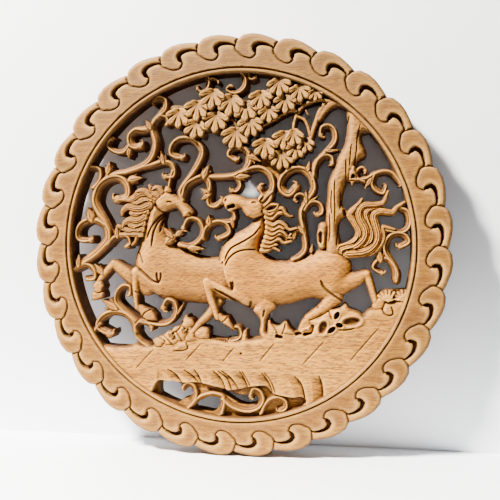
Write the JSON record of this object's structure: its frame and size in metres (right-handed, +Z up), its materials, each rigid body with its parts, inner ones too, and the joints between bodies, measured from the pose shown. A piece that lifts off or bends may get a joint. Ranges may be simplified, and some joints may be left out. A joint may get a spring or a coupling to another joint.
{
  "type": "carved wall panel",
  "caption": "Round pierced wooden wall panel carved in relief with two galloping horses under a tree, inside a border of curling waves.",
  "frame": {"origin": "hanging point on the flat back of the border, at the top", "axes": "+Z up the wall, +Y out of the back towards the wall, so the carving faces -Y"},
  "size_m": [0.3984, 0.024, 0.3984],
  "materials": {
    "carved_wood": "satin"
  },
  "bodies": {
    "root": {"carved_panel": "carved_wood"}
  },
  "joints": []
}
